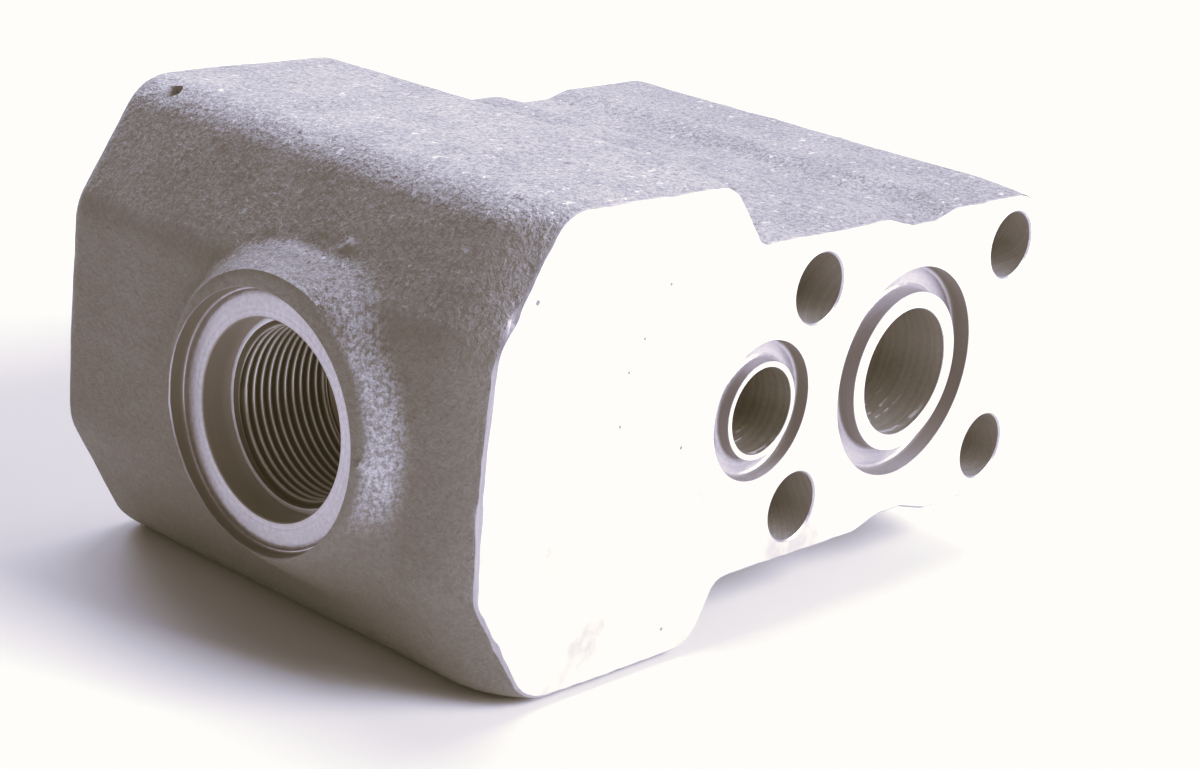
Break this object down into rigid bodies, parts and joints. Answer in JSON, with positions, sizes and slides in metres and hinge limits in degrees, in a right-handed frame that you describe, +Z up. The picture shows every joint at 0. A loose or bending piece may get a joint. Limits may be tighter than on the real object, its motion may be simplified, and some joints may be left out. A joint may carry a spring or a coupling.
{
  "type": "hydraulic manifold block",
  "caption": "Cast iron hydraulic manifold block with a machined port face, two grooved face ports, through bolt holes and a deep threaded port in a round side boss",
  "frame": {"origin": "under the middle of the bounding box, on the plane of the lowest cast edge", "axes": "+X along the block's length from the threaded port to the narrow end, -Y out of the machined port face, +Z up"},
  "size_m": [0.21, 0.134, 0.113],
  "materials": {
    "casting": "as-cast skin, with milled and turned surfaces at the face and ports"
  },
  "bodies": {
    "root": {"manifold_block": "casting"}
  },
  "joints": []
}
